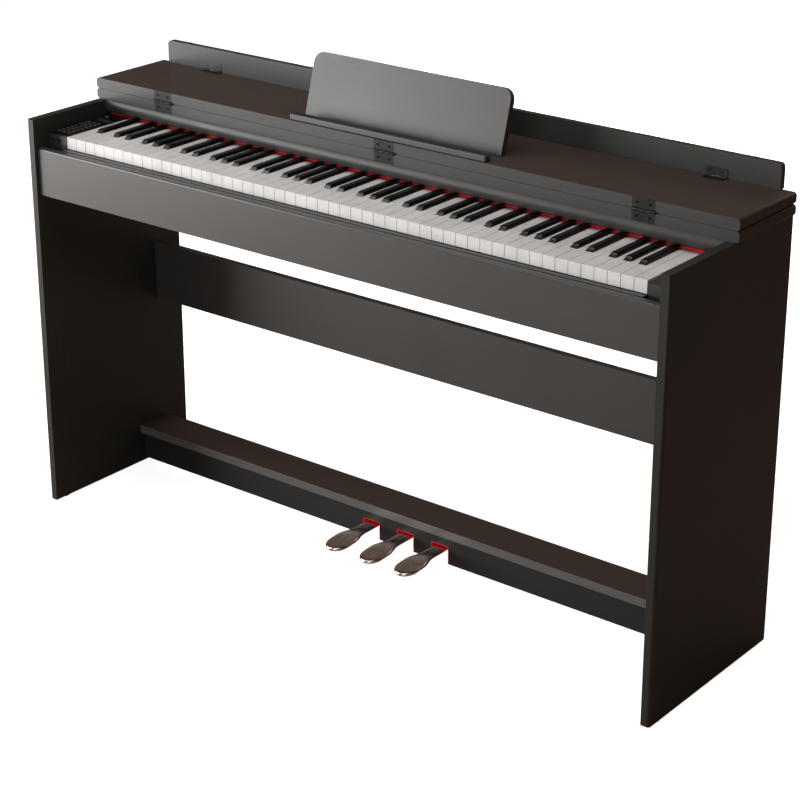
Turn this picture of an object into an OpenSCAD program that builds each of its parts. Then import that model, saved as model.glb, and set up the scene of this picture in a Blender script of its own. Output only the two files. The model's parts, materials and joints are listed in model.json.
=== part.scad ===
// Slim home digital piano with 88 keys, standing on its own two side panels.
// X runs along the keyboard, towards the treble. Y runs to the back. Z is up.
// The origin is on the floor, under the middle of the case.
// Inside the modules, Y is counted from the front edges of the side panels: set_back() moves it there.

/* [Case] */
// Width over the two side panels
case_w = 1344; // [1300:1:1400]
// Depth of the side panels
case_d = 360; // [356:1:370]
// Height of the side panels, up to the underside of the top board
case_h = 750; // [730:1:780]
// Thickness of the side panels, front rail, keybed, pedal shelf and pedal front board
board_t = 16; // [15:0.5:18]
// Thickness of the top board and of the lid board
top_t = 19; // [18:0.5:20]
// Width of the top board and of the lid board
top_w = 1356; // [1350:1:1370]
// Distance from the panel fronts to the front edges of the top board and lid board
top_front = 182; // [181:0.5:184]
// Radius of the rounded side and rear edges of the top board and lid board
top_edge_r = 6; // [3:0.5:8]

/* [Lid] */
// Gap between the top board and the open lid board
seam = 0.5; // [0.4:0.1:1]
// Thickness of the lid flap and of the music rest
flap_t = 12; // [10:0.5:12]
// Height of the lid flap
flap_h = 42; // [30:1:44]
// Width of the lid flap
flap_w = 1306; // [1280:1:1308]
// Width of the music rest
rest_w = 417; // [380:1:430]
// Height of the music rest along its face, above its hinge line
rest_h = 106; // [90:1:106]
// Angle that the music rest leans back from upright
rest_lean = 15.7; // [10:0.1:20]
// Height of the music ledge
ledge_h = 11.5; // [8:0.5:12]
// Depth of the music ledge
ledge_d = 15.5; // [12:0.5:16]

/* [Keys] */
// Distance from one white key to the next
white_pitch = 23.5; // [23:0.1:23.6]
// Height of the white keys' tops above the floor
white_top = 718.5; // [716:0.5:719]
// Height of the black keys' tops above the white ones
black_rise = 6; // [5:0.5:7]
// Width of a black key at its foot
black_w = 13.5; // [12:0.1:14]
// Distance from the panel fronts to the white keys' fronts
key_front = 38; // [37:0.5:40]
// Distance from the panel fronts to the black keys' fronts
black_front = 94; // [90:0.5:100]
// Distance from the panel fronts to the keys' pivot
key_pivot = 280; // [270:1:285]

/* [Pedals] */
// Distance from one pedal to the next
pedal_pitch = 78.5; // [74:0.5:82]
// Length of a pedal in front of its axle
pedal_len = 160; // [150:1:170]
// Width of a pedal's foot plate
pedal_w = 45; // [40:1:50]
// Width of a pedal's arm
pedal_arm_w = 27; // [24:1:28]

/* [Hidden] */

$fn = 48;

// Colours
charcoal = "#34322f";
dark_brown = "#2b2623";
plastic_black = "#1b1b1c";
ivory_white = "#f2efe9";
felt_red = "#c4121b";
steel = "#8b8a86";
dark_steel = "#4c4b48";

// Clearances
fit = 0.2;                             // gap that lets a board slide in beside its neighbour
running = 0.05;                        // radial clearance of every turning fit
play = 0.1;                            // gap at each end of a hinge knuckle, and around a pressed-in piece
cut = 1;                               // how far a cut runs past the face that it opens

// Case
inner_x = case_w / 2 - board_t;        // inner faces of the side panels
glide_t = 2;                           // floor glide
glide_inset = 30;                      // from the panels' ends to the glides
panel_edge_r = 5;                      // outer front edges of the side panels
rail_front = 7;                        // front rail, from the panel fronts
rail_z0 = 610;
rail_z1 = 697;
rail_edge_r = 3;
keybed_z0 = 634;
keybed_z1 = keybed_z0 + board_t;
back_t = 12;
back_y1 = case_d - 3;
back_y0 = back_y1 - back_t;
modesty_y0 = 292.5;
modesty_t = 14;
modesty_z0 = 329;
modesty_z1 = 444;
cam_r = 7.5;                           // cam locks that draw the boards together
cam_t = 10;
lock_inset = 34;                       // from a side panel to the locks beside it

// Lid: the hinge line, then what stands on the lid
lid_z0 = case_h + top_t + seam;
lid_z1 = lid_z0 + top_t;
knuckle_r = 2.3;
hinge_y = top_front - knuckle_r;
hinge_z = lid_z0;
case_leaf_z1 = case_h + top_t - 2;     // the leaves end a little before the hinge line
lid_leaf_z0 = hinge_z + 2;
hinge_x = [-509.5, 0, 509.5];
hinge_w = 42;
leaf_t = 1.5;
barrel_half = 7;                       // half the lid barrel's length; the case's barrels are beside it
hinge_pin_r = 1.2;
screw_r = 2.2;
screw_x = 12;                          // screws, from a hinge's middle
ledge_y0 = top_front + 1;
ledge_w = 417;
small_r = 1.8;                         // knuckles of the flap hinges and rest hinges
small_pin_r = 0.9;
small_leaf_t = 1;
small_leaf_d = 14;
small_w = 40;
small_third = small_w / 3;             // length of each knuckle
small_screw_r = 1.5;
small_screw_y = small_leaf_d * 0.6;
flap_hinge_x = 539;
rest_hinge_x = 150;
flap_y0 = case_d - flap_t - 0.5;
flap_corner_r = 7;
small_axis_z = lid_z1 + small_r;
flap_axis_y = flap_y0 - small_r;
rest_axis_y = 240;
rest_corner_r = 20;
rest_foot = 5.2;                       // how far the rest's front face reaches below its hinge line

// Keys
felt_y0 = 192.5;                       // front face of the felt strip behind the keys
kb_x0 = -611;                          // left side of the first key
kb_x1 = kb_x0 + 52 * white_pitch;
key_gap = 0.5;                         // on each side of a white key
notch_gap = 1;                         // between a black key's sides and the white keys
notch_front_gap = 2;                   // in front of a black key
stick_shift = -1.3;                    // the sticks, and the black keys on them, sit left of an even spacing
head_t = 12.5;
skirt_z0 = 697;
skirt_t = 3;
head_back = 198;                       // rear end of a white key's top
black_back = felt_y0 - 0.5;            // rear end of a black key's top
black_top_w = 11;
stick_w = 9;
stick_z0 = 690;
stick_z1 = 707;
white_stick_front = 60;
stick_back = 292;
pivot_z = 698;
pivot_r = 3;
c4 = 39;                               // key numbers, counted from 0 at the first key
last_key = 87;
white_number = [0, 0, 1, 1, 2, 3, 3, 4, 4, 5, 5, 6];   // which white key of its octave each note is at

// Cheeks, fascia and felt
cheek_back = 192;
cheek_x1 = inner_x - 0.5;
cheek_x0 = kb_x1 + 1;
block_x0 = -cheek_x1;
block_x1 = kb_x0 - 1;
block_z1 = 718.5;
overlay_t = 1.5;
strip_y0 = 181;                        // raised strip at the rear of the control overlay
strip_z1 = 721;
cheek_z1 = 714.5;
fascia_z0 = 729.6;
fascia_z1 = case_h - fit;
fascia_front = 181;                    // lower edge of its face
fascia_top_y = 182;                    // upper edge
fascia_bulge = 2.7;
fascia_back = 206;
felt_t = 3;
felt_z0 = white_top + 0.6;
felt_z1 = white_top + black_rise - 0.3; // the strip ends just below the black keys' tops
fascia_wall = 3;                        // strip behind the felt, which is glued to it
felt_x1 = kb_x1 + 11;

// Control block
button_x = [-648, -635.5, -623];
button_rows = 8;
button_y0 = 56;
button_pitch = 10.5;
button_w = 7;
button_d = 5;
button_slot = 0.4;
button_z1 = 721.2;
block_wall = 2.5;
button_foot = 2;                       // rim that keeps a button under the housing's top
button_foot_z = block_z1 - block_wall - button_foot - play;
window_inset = 4;                      // from the overlay's sides to the display window
window_y0 = 146;
window_y1 = 160;
power_x = -647;
power_y = 174;
power_r = 4;
jack_x = [-648, -630];
jack_z = 707.5;
jack_r = 3.2;
jack_wall = 1.2;
jack_len = 28;

// Pedals
shelf_y0 = 231;
shelf_y1 = 308;
shelf_z0 = 63;
shelf_z1 = shelf_z0 + board_t;
toe_y0 = 241.5;                        // pedal front board
toe_y1 = toe_y0 + board_t;
toe_z0 = 7;
notch_w = 39;
notch_top = 42;
notch_felt_t = 1.5;
pedal_t = 8;
pedal_z = 34;                          // middle of the pedal arms, and their axle
pedal_axle_y = 282;
pedal_axle_r = 3;
pedal_x = [-pedal_pitch, 0, pedal_pitch];
pedal_back = 12;                       // behind the axle

// Sound
speaker_x = 430;
speaker_y = 160;
speaker_r = 50;
speaker_flange_t = 3;
speaker_z0 = keybed_z0 - speaker_flange_t;
speaker_hole_r = speaker_r - 4;
grille_z0 = 624;

// Sockets in the back
plate_x0 = -520;
plate_x1 = -400;
plate_z0 = 664;
plate_z1 = 708;
power_inlet_x = -500;
power_inlet_r = 2.8;

module set_back() {
    translate([0, -case_d / 2, 0]) children();
}

// A block between two corners
module span(a, b) {
    translate(a) cube(b - a);
}

// A cylinder along X, from x0 to x1
module along_x(x0, x1, y, z, r) {
    translate([x0, y, z]) rotate([0, 90, 0]) cylinder(h = x1 - x0, r = r);
}

// A cylinder along Y, from y0 to y1
module along_y(x, y0, y1, z, r) {
    translate([x, y1, z]) rotate([90, 0, 0]) cylinder(h = y1 - y0, r = r);
}

// A profile in Y and Z, drawn out along X
module bar(x0, x1) {
    translate([x0, 0, 0]) rotate([90, 0, 90]) linear_extrude(x1 - x0) children();
}

// A plate in X and Z with its two upper corners rounded, drawn out along Y
module round_top_plate(w, h, t, r) {
    translate([0, t, 0]) rotate([90, 0, 0]) linear_extrude(t) {
        translate([-w / 2, 0]) square([w, h - r]);
        translate([-w / 2 + r, 0]) square([w - 2 * r, h]);
        for (s = [-1, 1]) translate([s * (w / 2 - r), h - r]) circle(r);
    }
}

// The top board's shape: front edge flat, side and rear edges rounded
module rounded_board(z0) {
    r = top_edge_r;
    x = top_w / 2;
    z1 = z0 + top_t;
    span([-x + r, top_front, z0], [x - r, case_d - r, z1]);
    span([-x, top_front, z0 + r], [x, case_d - r, z1 - r]);
    span([-x + r, top_front, z0 + r], [x - r, case_d, z1 - r]);
    for (s = [-1, 1]) {
        translate([s * (x - r), case_d - r, z0 + r]) cylinder(h = top_t - 2 * r, r = r);
        for (z = [z0 + r, z1 - r]) {
            along_y(s * (x - r), top_front, case_d - r, z, r);
            translate([s * (x - r), case_d - r, z]) sphere(r);
        }
    }
    for (z = [z0 + r, z1 - r]) along_x(-x + r, x - r, case_d - r, z, r);
}

module screw_head(r, t) {
    difference() {
        cylinder(h = t, r = r);
        for (a = [0, 90]) rotate(a) translate([-r * 0.6, -0.25, t - 0.4]) cube([r * 1.2, 0.5, 1]);
    }
}

/* ---- case ---- */

module side_panel() {
    r = panel_edge_r;
    translate([0, 0, glide_t]) linear_extrude(case_h - glide_t) {
        translate([inner_x, 0]) square([board_t - r, case_d]);
        translate([inner_x, r]) square([board_t, case_d - r]);
        translate([inner_x + board_t - r, r]) circle(r);
    }
}

module left_side_panel() {
    color(charcoal) set_back() mirror([1, 0, 0]) side_panel();
}

module right_side_panel() {
    color(charcoal) set_back() side_panel();
}

module front_rail() {
    r = rail_edge_r;
    color(charcoal) set_back() difference() {
        bar(-inner_x, inner_x) {
            translate([rail_front, rail_z0]) square([board_t, rail_z1 - rail_z0 - r]);
            translate([rail_front + r, rail_z0]) square([board_t - 2 * r, rail_z1 - rail_z0]);
            for (y = [rail_front + r, rail_front + board_t - r]) translate([y, rail_z1 - r]) circle(r);
        }
        rail_locks() cam_pocket();
    }
}

module keybed_board() {
    color(dark_brown) set_back() difference() {
        span([-inner_x, rail_front + board_t, keybed_z0], [inner_x, back_y0, keybed_z1]);
        at_speakers() translate([0, 0, keybed_z0 - cut]) cylinder(h = board_t + 2 * cut, r = speaker_hole_r);
        keybed_locks() cam_pocket();
    }
}

module back_panel() {
    edge = 6;                          // how far the connection plate overlaps its opening
    x0 = plate_x0 + edge;
    x1 = plate_x1 - edge;
    color(dark_brown) set_back() difference() {
        span([-inner_x, back_y0, keybed_z0], [inner_x, back_y1, case_h]);
        span([x0, back_y0 - cut, plate_z0 + edge], [x1, back_y1 + cut, plate_z1 - edge]);
    }
}

module top_board() {
    color(dark_brown) set_back() difference() {
        rounded_board(case_h);
        for (x = hinge_x) hinge_mortise(x, case_h - cut, hinge_z);
    }
}

module modesty_panel() {
    color(charcoal) set_back() difference() {
        span([-inner_x, modesty_y0, modesty_z0], [inner_x, modesty_y0 + modesty_t, modesty_z1]);
        modesty_locks() cam_pocket();
    }
}

/* ---- cam locks, each set in a pocket of its own ---- */

module cam_pocket() {
    translate([0, 0, -cam_t]) cylinder(h = cam_t + cut, r = cam_r + running);
}

module cam_lock() {
    slot = [10, 1.5, 2.6];
    translate([0, 0, -cam_t + fit]) difference() {
        cylinder(h = cam_t - 2 * fit, r = cam_r);
        for (a = [0, 90]) rotate(a)
            translate([-slot.x / 2, -slot.y / 2, cam_t - 2 * fit - slot.z]) cube(slot + [0, 0, cut]);
    }
}

// Each of these puts its children on a board's face, with Z pointing out of the board
module rail_locks() {
    for (s = [-1, 1]) translate([s * (inner_x - lock_inset), rail_front + board_t, rail_z0 + 12])
        rotate([-90, 0, 0]) children();
}

module keybed_locks() {
    for (s = [-1, 1]) for (y = [60, case_d - 50]) translate([s * (inner_x - lock_inset), y, keybed_z0])
        rotate([180, 0, 0]) children();
}

module modesty_locks() {
    for (s = [-1, 1]) for (z = [modesty_z0 + 30, modesty_z1 - 30])
        translate([s * (inner_x - lock_inset), modesty_y0 + modesty_t, z]) rotate([-90, 0, 0]) children();
}

module shelf_locks() {
    for (s = [-1, 1]) translate([s * (inner_x - lock_inset), shelf_y1 - 30, shelf_z0])
        rotate([180, 0, 0]) children();
}

module cam_locks() {
    color(steel) set_back() {
        rail_locks() cam_lock();
        keybed_locks() cam_lock();
        modesty_locks() cam_lock();
        shelf_locks() cam_lock();
    }
}

module floor_glides() {
    color(plastic_black) set_back() for (s = [-1, 1]) for (y = [glide_inset, case_d - glide_inset])
        translate([s * (inner_x + board_t / 2), y, 0]) cylinder(h = glide_t, r = board_t / 2 - 1);
}

/* ---- pedal unit ---- */

module pedal_shelf() {
    color(charcoal) set_back() difference() {
        span([-inner_x, shelf_y0, shelf_z0], [inner_x, shelf_y1, shelf_z1]);
        shelf_locks() cam_pocket();
    }
}

module pedal_front_board() {
    half = notch_w / 2;
    color(charcoal) set_back() difference() {
        span([-inner_x, toe_y0, toe_z0], [inner_x, toe_y1, shelf_z0]);
        for (x = pedal_x) span([x - half, toe_y0 - cut, toe_z0 - cut], [x + half, toe_y1 + cut, notch_top]);
    }
}

module pedal_notch_felts() {
    half = notch_w / 2;
    proud = 0.5;                       // before and behind the board
    inner = half - notch_felt_t;
    color(felt_red) set_back() for (x = pedal_x) difference() {
        span([x - half, toe_y0 - proud, toe_z0 + 1], [x + half, toe_y1 + proud, notch_top]);
        span([x - inner, toe_y0 - cut, toe_z0], [x + inner, toe_y1 + cut, notch_top - notch_felt_t]);
    }
}

// A steel plate under the shelf, with two ears beside each pedal
module pedal_bracket() {
    plate_t = 3;
    ear_t = 2.5;
    ear_x = pedal_arm_w / 2 + 1.5;     // from a pedal's middle to the ear beside it
    ear_z0 = pedal_z - 8;
    y0 = pedal_axle_y - 14;
    y1 = pedal_axle_y + 10;
    x1 = pedal_pitch + ear_x + ear_t;
    color(steel) set_back() difference() {
        union() {
            span([-x1, y0, shelf_z0 - plate_t], [x1, y1, shelf_z0]);
            for (x = pedal_x) for (x0 = [x - ear_x - ear_t, x + ear_x])
                span([x0, y0 + 4, ear_z0], [x0 + ear_t, y1, shelf_z0]);
        }
        along_x(-x1 - cut, x1 + cut, pedal_axle_y, pedal_z, pedal_axle_r + running);
    }
}

module pedal_axle() {
    x1 = pedal_pitch + pedal_arm_w / 2 + 8;
    color(steel) set_back() along_x(-x1, x1, pedal_axle_y, pedal_z, pedal_axle_r);
}

// Half the pedal's width, at a distance from its tip: round tip, wide plate, smooth flare down to the arm
function pedal_half(d) =
    let (w = pedal_w / 2, a = pedal_arm_w / 2, tip = 26, flare0 = 46, flare1 = 84)
    d < tip ? w * sqrt(1 - pow(1 - d / tip, 2))
    : d < flare0 ? w
    : d < flare1 ? a + (w - a) * (1 + cos(180 * (d - flare0) / (flare1 - flare0))) / 2
    : a;

// Height of the pedal's underside above the arm's underside: the plate dips a little towards its tip
function pedal_dip(d) = d < 70 ? -5 * pow(1 - d / 70, 2) : 0;

module pedal(x) {
    y_tip = pedal_axle_y - pedal_len;
    end = pedal_len + pedal_back;
    low = pedal_z - pedal_t / 2;
    high = pedal_z + pedal_t / 2;
    steps = [0, 0.7, 2.5, 5.5, 9.5, 14.5, 20, 26, 36, 46, 52, 58, 65, 72, 78, 84, end];
    dips = [for (i = [0:7:70]) i];
    color(steel) set_back() translate([x, 0, 0]) difference() {
        intersection() {
            translate([0, y_tip, pedal_z - 20]) linear_extrude(40) polygon(concat(
                [for (d = steps) [pedal_half(d), d]],
                [for (i = [len(steps) - 1:-1:1]) [-pedal_half(steps[i]), steps[i]]]
            ));
            bar(-pedal_w, pedal_w) polygon(concat(
                [for (d = dips) [y_tip + d, low + pedal_dip(d)]],
                [[y_tip + end, low], [y_tip + end, high]],
                [for (i = [len(dips) - 1:-1:0]) [y_tip + dips[i], high + pedal_dip(dips[i])]]
            ));
        }
        along_x(-pedal_w, pedal_w, pedal_axle_y, pedal_z, pedal_axle_r + running);
    }
}

module soft_pedal() {
    pedal(-pedal_pitch);
}

module sostenuto_pedal() {
    pedal(0);
}

module damper_pedal() {
    pedal(pedal_pitch);
}

/* ---- keyboard ---- */

// Which of the twelve notes a key plays, with C as 0, and the left side of its octave
function note(k) = (k + 9) % 12;
function octave_x(k) = kb_x0 + white_pitch * (7 * floor((k + 9) / 12) - 5);
function is_black(k) = len(search(note(k), [1, 3, 6, 8, 10])) > 0;
function white_x(k) = octave_x(k) + white_pitch * white_number[note(k)];
// The sticks are evenly spaced from C to E, three white keys wide, and from F to B, four wide
function stick_place(n) = n < 5 ? (n + 0.5) * 3 / 5 : 3 + (n - 4.5) * 4 / 7;
function stick_x(k) = octave_x(k) + white_pitch * stick_place(note(k)) + stick_shift;

module key_stick(k, y0) {
    x = stick_x(k);
    span([x - stick_w / 2, y0, stick_z0], [x + stick_w / 2, stick_back, stick_z1]);
}

module white_key(k) {
    left = white_x(k) + key_gap;
    right = white_x(k) + white_pitch - key_gap;
    half_notch = black_w / 2 + notch_gap;
    notch_l = k > 0 && is_black(k - 1) ? stick_x(k - 1) + half_notch : left;
    notch_r = k < last_key && is_black(k + 1) ? stick_x(k + 1) - half_notch : right;
    notch_y = black_front - notch_front_gap;
    difference() {
        union() {
            translate([0, 0, white_top - head_t]) linear_extrude(head_t) polygon([
                [left, key_front], [right, key_front], [right, notch_y], [notch_r, notch_y],
                [notch_r, head_back], [notch_l, head_back], [notch_l, notch_y], [left, notch_y]
            ]);
            span([left, key_front, skirt_z0], [right, key_front + skirt_t, white_top - 1]);
            key_stick(k, white_stick_front);
        }
        along_x(left - white_pitch, right + white_pitch, key_pivot, pivot_z, pivot_r + running);
    }
}

module black_key(k) {
    x = stick_x(k);
    foot_z = stick_z1 - 1;
    top_z = white_top + black_rise;
    lean = 5;                          // how far the front leans back over its height
    half = black_w / 2;
    half_top = black_top_w / 2;
    edge = 1;                          // bevel along the top
    difference() {
        union() {
            intersection() {
                bar(x - black_w, x + black_w) polygon([
                    [black_front, foot_z], [black_front, white_top - 1],
                    [black_front + lean * 0.6, top_z - 3], [black_front + lean, top_z - edge],
                    [black_front + lean + 3, top_z], [black_back, top_z], [black_back, foot_z]
                ]);
                translate([x, black_back + cut, 0]) rotate([90, 0, 0])
                    linear_extrude(black_back - black_front + 2 * cut) polygon([
                        [-half, foot_z], [half, foot_z], [half, white_top], [half_top, top_z - edge],
                        [half_top - edge, top_z], [-half_top + edge, top_z], [-half_top, top_z - edge],
                        [-half, white_top]
                    ]);
            }
            key_stick(k, black_front);
        }
        along_x(x - black_w, x + black_w, key_pivot, pivot_z, pivot_r + running);
    }
}

module keys(first, last, black) {
    color(black ? plastic_black : ivory_white) set_back() for (k = [first:last]) {
        if (black && is_black(k)) black_key(k);
        if (!black && !is_black(k)) white_key(k);
    }
}

// A key of the octave that starts at middle C
module octave_key(n) {
    keys(c4 + n, c4 + n, is_black(c4 + n));
}

module bass_white_keys() keys(0, c4 - 1, false);
module bass_black_keys() keys(0, c4 - 1, true);
module treble_white_keys() keys(c4 + 12, last_key, false);
module treble_black_keys() keys(c4 + 12, last_key, true);
module key_c4() octave_key(0);
module key_c_sharp4() octave_key(1);
module key_d4() octave_key(2);
module key_d_sharp4() octave_key(3);
module key_e4() octave_key(4);
module key_f4() octave_key(5);
module key_f_sharp4() octave_key(6);
module key_g4() octave_key(7);
module key_g_sharp4() octave_key(8);
module key_a4() octave_key(9);
module key_a_sharp4() octave_key(10);
module key_b4() octave_key(11);

// A moulded tray with a front lip, and a rail with combs that hold the pivot rod
module key_chassis() {
    wall = 3;
    lip_y0 = 25;
    lip_y1 = 35;
    lip_z1 = skirt_z0 - 0.4;
    tray_back = 320;
    rail_half = 9;                     // half the rail's depth, around the pivot
    rail_y0 = key_pivot - rail_half;
    rail_y1 = key_pivot + rail_half;
    comb_t = 2;
    comb_z1 = pivot_z + 6;
    tray_x0 = kb_x0 - 0.5;
    tray_x1 = kb_x1 + 0.5;
    // One comb at each end, and one under the gap between B and C of each octave
    combs = concat(
        [tray_x0 + fit],
        [for (o = [0:7]) kb_x0 + white_pitch * (7 * o + 2) + (stick_shift - comb_t) / 2],
        [tray_x1 - comb_t - fit]
    );
    rail_z0 = keybed_z1 + wall + fit;
    color(plastic_black) set_back() {
        // Tray, front lip, and the rail screwed onto the tray
        span([tray_x0, lip_y1 + fit, keybed_z1], [tray_x1, tray_back, keybed_z1 + wall]);
        span([tray_x0, lip_y0, keybed_z1], [tray_x1, lip_y1, lip_z1]);
        difference() {
            union() {
                span([tray_x0, rail_y0, rail_z0], [tray_x1, rail_y1, stick_z0 - 5]);
                for (x = combs) span([x, rail_y0, rail_z0], [x + comb_t, rail_y1, comb_z1]);
            }
            along_x(tray_x0 - cut, tray_x1 + cut, key_pivot, pivot_z, pivot_r + running);
        }
    }
}

module key_pivot_rod() {
    color(steel) set_back() along_x(kb_x0 - 0.4, kb_x1 + 0.4, key_pivot, pivot_z, pivot_r);
}

// The contact board under the keys, and the main board behind them
module circuit_boards() {
    board = 1.6;
    contacts_z = keybed_z1 + 3;
    main_y = 326;
    part_size = [22, 14, 22];          // the main board's larger components
    color("darkgreen") set_back() {
        span([kb_x0 + 10, 150, contacts_z], [kb_x1 - 10, 190, contacts_z + board]);
        span([-330, main_y, 660], [-90, main_y + board, 720]);
        for (x = [-310:40:-110]) translate([x, main_y - part_size.y, 675]) cube(part_size);
    }
}

// Moulding under the top board, with a rounded face, and a strip below it that carries the felt
module key_fascia() {
    steps = 12;
    wall_y0 = felt_y0 + felt_t;
    color(charcoal) set_back()
        span([-inner_x + fit, wall_y0, felt_z0], [inner_x - fit, wall_y0 + fascia_wall, fascia_z0 - fit]);
    color(charcoal) set_back() bar(-inner_x + fit, inner_x - fit) polygon(concat(
        [for (i = [0:steps]) let (f = i / steps) [
            fascia_front + (fascia_top_y - fascia_front) * f - fascia_bulge * 4 * f * (1 - f),
            fascia_z0 + (fascia_z1 - fascia_z0) * f
        ]],
        [[fascia_back, fascia_z1], [fascia_back, fascia_z0]]
    ));
}

module red_felt_strip() {
    color(felt_red) set_back()
        span([-inner_x + 1, felt_y0, felt_z0], [felt_x1, felt_y0 + felt_t, felt_z1]);
}

module right_cheek_block() {
    wall = 3;
    color(plastic_black) set_back() difference() {
        span([cheek_x0, key_front, keybed_z1], [cheek_x1, cheek_back, cheek_z1]);
        span([cheek_x0 + wall, key_front + wall, keybed_z1 - cut],
             [cheek_x1 - wall, cheek_back - wall, cheek_z1 - wall]);
    }
}

/* ---- controls, left of the keys ---- */

// Puts its children at each function button's middle
module at_buttons() {
    for (x = button_x) for (i = [0:button_rows - 1])
        translate([x, button_y0 + i * button_pitch, 0]) children();
}

module button_slots(z0, z1) {
    w = button_w + 2 * button_slot;
    d = button_d + 2 * button_slot;
    at_buttons() translate([-w / 2, -d / 2, z0]) cube([w, d, z1 - z0]);
    translate([power_x, power_y, z0]) cylinder(h = z1 - z0, r = power_r + button_slot);
}

module control_block() {
    w = block_wall;
    color(plastic_black) set_back() difference() {
        span([block_x0, key_front, keybed_z1], [block_x1, cheek_back, block_z1]);
        span([block_x0 + w, key_front + w, keybed_z1 - cut], [block_x1 - w, cheek_back - w, block_z1 - w]);
        button_slots(block_z1 - w - cut, block_z1 + cut);
        for (x = jack_x) along_y(x, key_front - cut, key_front + w + cut, jack_z, jack_r + jack_wall + play);
    }
}

module control_overlay() {
    x0 = block_x0 + window_inset;
    x1 = block_x1 - window_inset;
    z1 = block_z1 + overlay_t;
    color("#0d0d0e") set_back() difference() {
        union() {
            span([block_x0, key_front, block_z1], [block_x1, felt_y0 - fit, z1]);
            span([block_x0, strip_y0, block_z1], [block_x1, felt_y0 - fit, strip_z1]);
        }
        button_slots(block_z1 - cut, z1 + cut);
        span([x0, window_y0, block_z1 - cut], [x1, window_y1, z1 + cut]);
    }
}

module display_window() {
    x0 = block_x0 + window_inset + play;
    x1 = block_x1 - window_inset - play;
    color("#1a2326") set_back()
        span([x0, window_y0 + play, block_z1], [x1, window_y1 - play, block_z1 + overlay_t]);
}

module function_buttons() {
    foot_w = button_w + 3;
    foot_d = button_d + 3;
    color("#5b5b5d") set_back() at_buttons() translate([0, 0, button_foot_z]) {
        translate([-button_w / 2, -button_d / 2, 0]) cube([button_w, button_d, button_z1 - button_foot_z]);
        translate([-foot_w / 2, -foot_d / 2, 0]) cube([foot_w, foot_d, button_foot]);
    }
}

module power_button() {
    color("#5b5b5d") set_back() translate([power_x, power_y, button_foot_z]) {
        cylinder(h = button_z1 - button_foot_z, r = power_r);
        cylinder(h = button_foot, r = power_r + 1.5);
    }
}

module headphone_jacks() {
    flange_y = key_front - 0.8;
    bottom_t = 4;
    color("#2a2a2c") set_back() for (x = jack_x) difference() {
        union() {
            along_y(x, flange_y, key_front, jack_z, jack_r + 2.4);
            along_y(x, flange_y, key_front + jack_len + bottom_t, jack_z, jack_r + jack_wall);
        }
        along_y(x, flange_y - cut, key_front + jack_len, jack_z, jack_r);
    }
}

/* ---- sound, and sockets in the back ---- */

module at_speakers() {
    for (s = [-1, 1]) translate([s * speaker_x, speaker_y, 0]) children();
}

// Flange, cone and magnet, turned in one profile
module speakers() {
    r = speaker_r;
    top = keybed_z1 - 1;
    color("#26262a") set_back() at_speakers() rotate_extrude() polygon([
        [r - 8, speaker_z0], [r, speaker_z0], [r, keybed_z0], [r - 6, keybed_z0],
        [20, top], [0, top], [0, top - 5], [12, top - 5], [16, top - 8]
    ]);
}

module speaker_grilles() {
    ring = 6;
    slots = 9;
    slot_w = 5;
    face_t = 2;
    h = keybed_z0 - grille_z0;
    color(plastic_black) set_back() at_speakers() difference() {
        translate([0, 0, grille_z0]) cylinder(h = h, r = speaker_r + ring);
        translate([0, 0, grille_z0 + face_t]) cylinder(h = h, r = speaker_r + 0.5);
        for (i = [0:slots - 1]) let (
            y = (i - (slots - 1) / 2) * 2 * slot_w,
            half = sqrt(pow(speaker_hole_r, 2) - y * y)
        ) translate([-half, y - slot_w / 2, grille_z0 - cut]) cube([2 * half, slot_w, face_t + 2 * cut]);
    }
}

module connection_plate() {
    plate_t = 2;
    wall = 1.5;
    z = (plate_z0 + plate_z1) / 2;
    y1 = back_y1 + plate_t;
    // Round sockets: place along X, radius, depth
    round = [[power_inlet_x, power_inlet_r, 12], [-478, 3.2, 24], [-458, 3.2, 24], [-436, 2.2, 16]];
    // One square data socket
    square_x = -415;
    square_half = 6;
    square_depth = 9;
    shell = square_half + wall;
    color(plastic_black) set_back() difference() {
        union() {
            span([plate_x0, back_y1, plate_z0], [plate_x1, y1, plate_z1]);
            for (k = round) along_y(k[0], back_y1 - k[2] - wall, y1, z, k[1] + wall);
            span([square_x - shell, back_y1 - square_depth - wall, z - shell],
                 [square_x + shell, back_y1, z + shell]);
        }
        for (k = round) along_y(k[0], back_y1 - k[2], y1 + cut, z, k[1]);
        span([square_x - square_half, back_y1 - square_depth, z - square_half],
             [square_x + square_half, y1 + cut, z + square_half]);
    }
}

/* ---- lid hinges: three, set flush in the boards' front edges ---- */

module hinge_mortise(x, z0, z1) {
    half = hinge_w / 2 + play;
    span([x - half, top_front - cut, z0], [x + half, top_front + leaf_t + play, z1 + play]);
}

// A leaf on the boards' front edge, from z0 to z1, with screw holes
module hinge_leaf(x, z0, z1) {
    z = (z0 + z1) / 2;
    y1 = top_front + leaf_t;
    difference() {
        span([x - hinge_w / 2, top_front, z0], [x + hinge_w / 2, y1, z1]);
        for (s = [-1, 1]) along_y(x + s * screw_x, top_front - cut, y1 + cut, z, screw_r + running);
    }
}

// A barrel from x0 to x1, with the web that joins it to the leaf above or below
module hinge_barrel(x0, x1, up) {
    z0 = hinge_z + (up ? 0 : -knuckle_r);
    difference() {
        union() {
            along_x(x0, x1, hinge_y, hinge_z, knuckle_r);
            span([x0, hinge_y, z0], [x1, top_front + leaf_t, z0 + knuckle_r]);
        }
        along_x(x0 - cut, x1 + cut, hinge_y, hinge_z, hinge_pin_r + running);
    }
}

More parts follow.
